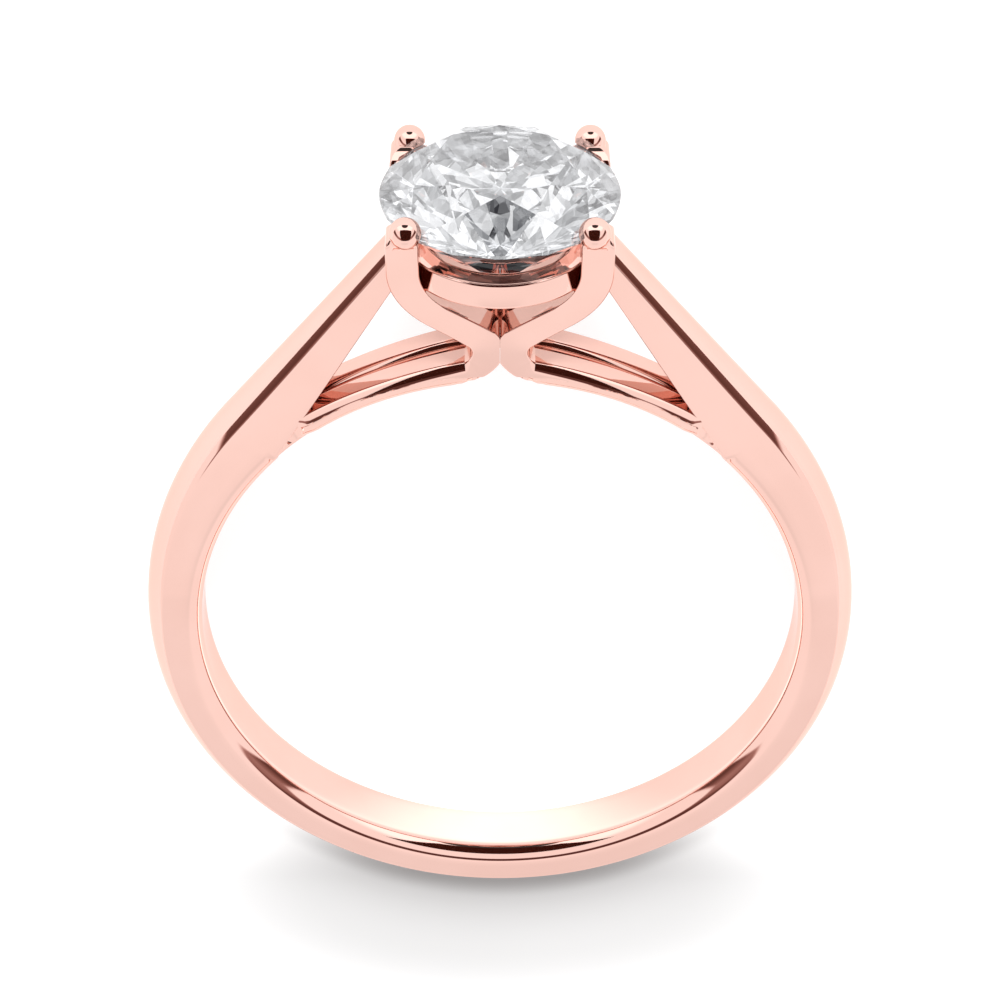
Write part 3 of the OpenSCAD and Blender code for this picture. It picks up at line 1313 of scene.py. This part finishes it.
@dataclass
class Camera:
    """The photograph's camera, given with the ring upright."""

    distance: float = 82.0
    height_deg: float = 37.13
    aim_z: float = 4.15
    focal_px: float = 2888.0
    frame_px: float = 1000.0
    sensor: float = 36.0

    @property
    def direction(self) -> Vector:
        """From the ring towards the camera, with the ring upright."""
        a = math.radians(self.height_deg)
        return Vector((0, -math.cos(a), math.sin(a)))

    def build(self) -> None:
        """Makes the camera and puts it to use."""
        lens = bpy.data.cameras.new("photo_camera")
        lens.sensor_width = self.sensor
        lens.lens = self.focal_px / self.frame_px * self.sensor
        lens.clip_start = 0.001
        lens.clip_end = 10.0
        holder = bpy.data.objects.new("photo_camera", lens)
        bpy.context.scene.collection.objects.link(holder)
        back = (SIZES.turn @ self.direction).normalized()
        side = Vector((1, 0, 0))
        pose = Matrix((side, back.cross(side), back)).transposed().to_4x4()
        aim = Vector((0, 0, self.aim_z))
        pose.translation = SIZES.lay @ (aim + self.distance * self.direction)
        holder.matrix_world = pose
        bpy.context.scene.camera = holder


def set_up(
    name: str,
    shell: bmesh.types.BMesh,
    finish: bpy.types.Material,
    place: Vector,
    unseen: Iterable[str],
) -> None:
    """Puts up a piece of the studio.

    Args:
        name: Its name.
        shell: Its shape, which is used up.
        finish: Its material.
        place: Where it stands.
        unseen: The kinds of light that pass it by.
    """
    data = bpy.data.meshes.new(name)
    shell.to_mesh(data)
    shell.free()
    data.materials.append(finish)
    piece = bpy.data.objects.new(name, data)
    piece.location = place
    for kind in unseen:
        setattr(piece, f"visible_{kind}", False)
    bpy.context.scene.collection.objects.link(piece)


@dataclass
class Studio:
    """Pale floor and soft light. The surroundings are white, with the dark gap at the edge of
    the light tent and a dark opening above the head, which give polished metal its lines."""

    floor_size: float = 1.2
    floor_drop: float = 0.00001
    panel_r: float = 0.06
    strength: float = 1.24
    # Rows: degrees round from the front, middle of the dark gap in degrees above level
    gap_height: tuple[Point, ...] = (
        (0, -13), (25, -13), (45, -5), (60, 4), (75, 11), (90, 16), (120, 12), (180, 24),
    )
    # Rows: degrees round from the front, how dark the gap is
    gap_depth: tuple[Point, ...] = (
        (0, 0.96), (20, 0.93), (32, 0.72), (45, 0.68), (60, 0.82), (75, 0.93), (90, 0.88),
        (105, 0.75), (120, 0.45), (150, 0.4), (180, 0.6),
    )
    gap_reach_deg: float = 40.0
    gap_edge_deg: Point = (6.5, 10.0)
    gap_black: float = 0.95
    opening_deg: Point = (18.0, 21.0)
    opening_black: float = 0.97
    overhead: float = 0.45
    overhead_deg: Point = (30.0, 48.0)
    # A dimmer patch that the foot of the band mirrors
    shade: float = 0.12
    shade_below_deg: float = 47.0
    shade_edge_deg: Point = (0.0, 16.0)
    shade_round_deg: Point = (15.0, 35.0)
    card_half_mm: Point = (10.5, 12.0)
    card_drop_mm: float = 9.0
    card_away: float = 14.0
    # Dark parts are warm, as the walls behind the tent are
    warm_dark: Colour = (1.0, 0.42, 0.34, 1)
    sun_strength: float = 4.2
    sun_height_deg: float = 33.0
    sun_width_deg: float = 22.0

    def world(self) -> None:
        """Lights the scene from all around."""
        made = bpy.data.worlds.new("light_tent")
        bpy.context.scene.world = made
        made.use_nodes = True
        bench = Bench(made.node_tree)
        look = bench.node("ShaderNodeTexCoord", {}, {}).outputs["Generated"]
        across, along, upward = (
            bench.measure("DOT_PRODUCT", look, SIZES.turn @ Vector(axis))
            for axis in ((1, 0, 0), (0, 1, 0), (0, 0, 1))
        )
        round_deg = abs(across).turn_deg(-along)
        height_deg = upward.arcsine_deg()
        reach = self.gap_reach_deg
        heights = [(a, (h + reach) / (2 * reach)) for a, h in self.gap_height]
        middle = round_deg.along(heights, 180) * (2 * reach) - reach
        dark = round_deg.along(self.gap_depth, 180)
        gap = dark * (1 - abs(height_deg - middle).rise(*self.gap_edge_deg))
        opening = 1 - upward.arccosine_deg().rise(*self.opening_deg)
        overhead = height_deg.rise(*self.overhead_deg) * self.overhead
        under = abs(height_deg + self.shade_below_deg).rise(*self.shade_edge_deg)
        shade = 1 - self.shade * (1 - under) * (1 - round_deg.rise(*self.shade_round_deg))
        light = (1 + overhead) * (1 - self.opening_black * opening)
        light = light * (1 - self.gap_black * gap) * shade
        tone = bench.blend(gap, (1, 1, 1, 1), self.warm_dark)
        sockets = {"Color": tone, "Strength": light * self.strength}
        lamp = bench.node("ShaderNodeBackground", {}, sockets)
        bench.node("ShaderNodeOutputWorld", {}, {"Surface": lamp.outputs["Background"]})

    def panels(self, finish: bpy.types.Material) -> None:
        """Puts light and dark panels around, which only light through the stone meets.

        Args:
            finish: Their material.
        """
        shell = bmesh.new()
        bmesh.ops.create_icosphere(shell, subdivisions=4, radius=self.panel_r)
        place = SIZES.lay @ Vector((0, 0, SIZES.girdle_z))
        unseen = ("camera", "diffuse", "glossy", "shadow", "volume_scatter")
        set_up("panels", shell, finish, place, unseen)

    def card(self, camera: Camera, finish: bpy.types.Material) -> None:
        """Puts up a dark card in front of the head, which only polished metal mirrors.

        Args:
            camera: The photograph's camera, beside whose line of sight the card stands.
            finish: The card's material.
        """
        head = Vector((0, 0, SIZES.girdle_z)) + camera.direction * self.card_away
        side = Vector((1, 0, 0))
        above = camera.direction.cross(side)
        wide, tall = self.card_half_mm
        shell = bmesh.new()
        corners = []
        for across, up in ((-1, -1), (1, -1), (1, 1), (-1, 1)):
            spot = head + wide * across * side + (tall * up - self.card_drop_mm) * above
            corners.append(shell.verts.new(SIZES.lay @ spot))
        shell.faces.new(corners)
        unseen = ("camera", "diffuse", "transmission", "shadow", "volume_scatter")
        set_up("camera_card", shell, finish, Vector((0, 0, 0)), unseen)

    def sun(self) -> None:
        """Adds the soft light from behind the stone that throws the shadow under the foot."""
        lamp = bpy.data.lights.new("soft_back_light", "SUN")
        lamp.energy = self.sun_strength
        lamp.angle = math.radians(self.sun_width_deg)
        holder = bpy.data.objects.new("soft_back_light", lamp)
        holder.rotation_euler = (math.radians(self.sun_height_deg - 90), 0, 0)
        holder.visible_glossy = False
        holder.visible_transmission = False
        bpy.context.scene.collection.objects.link(holder)

    def floor(self, finish: bpy.types.Material) -> None:
        """Makes the floor.

        Args:
            finish: Its material.
        """
        shell = bmesh.new()
        bmesh.ops.create_grid(shell, x_segments=8, y_segments=8, size=self.floor_size / 2)
        set_up("floor", shell, finish, Vector((0, 0, -self.floor_drop)), ("transmission",))

    def build(self, camera: Camera) -> None:
        """Sets up light and floor.

        Args:
            camera: The photograph's camera.
        """
        self.world()
        self.sun()
        self.floor(PaleFloor().material())
        self.panels(StonePanels().material())
        self.card(camera, DarkCard().material())
        bpy.context.scene.view_settings.view_transform = "Standard"


def main() -> None:
    """Builds the studio and every piece of the ring, in order."""
    logging.basicConfig(level=logging.INFO, format="%(name)s: %(message)s")
    gold = RoseGold().material()
    camera = Camera()
    camera.build()
    Studio().build(camera)
    Band().build(gold)
    wires = ClawWires()
    wires.build(gold)
    Basket().build(gold, wires)
    Brilliant().build(ClearStone().material())
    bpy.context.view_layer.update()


if __name__ == "__main__":
    main()
